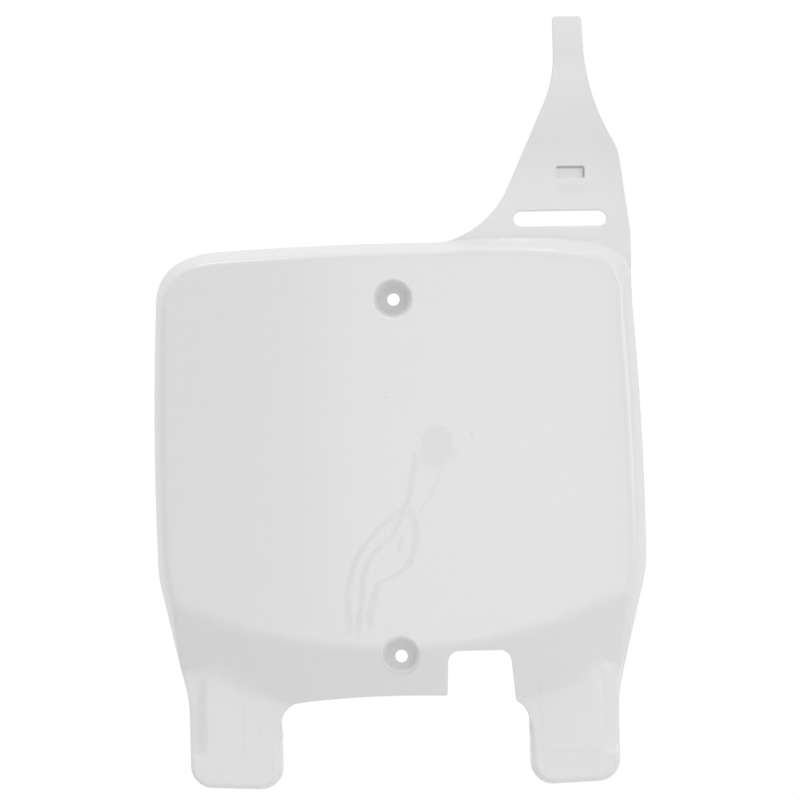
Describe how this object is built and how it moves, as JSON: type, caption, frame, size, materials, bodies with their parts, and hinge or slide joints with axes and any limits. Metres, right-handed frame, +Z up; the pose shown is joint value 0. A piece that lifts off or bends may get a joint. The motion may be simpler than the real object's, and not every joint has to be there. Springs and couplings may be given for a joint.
{
  "type": "motorbike number board",
  "caption": "Curved front number board for an off-road motorbike, with a turned-back flange, dished bolt seats, forward feet, a hose notch and a slotted handlebar strap.",
  "frame": {"origin": "midway between the two bolt holes, on the plane where the backs of the bolt seats meet the bracket", "axes": "+Z up, +X to the right of someone who looks at the numbers, and the number face looks along -Y"},
  "size_m": [0.259, 0.026, 0.4036],
  "materials": {
    "board": "white moulded polypropylene with a soft satin gloss"
  },
  "bodies": {
    "root": {"number_board": "board"}
  },
  "joints": []
}
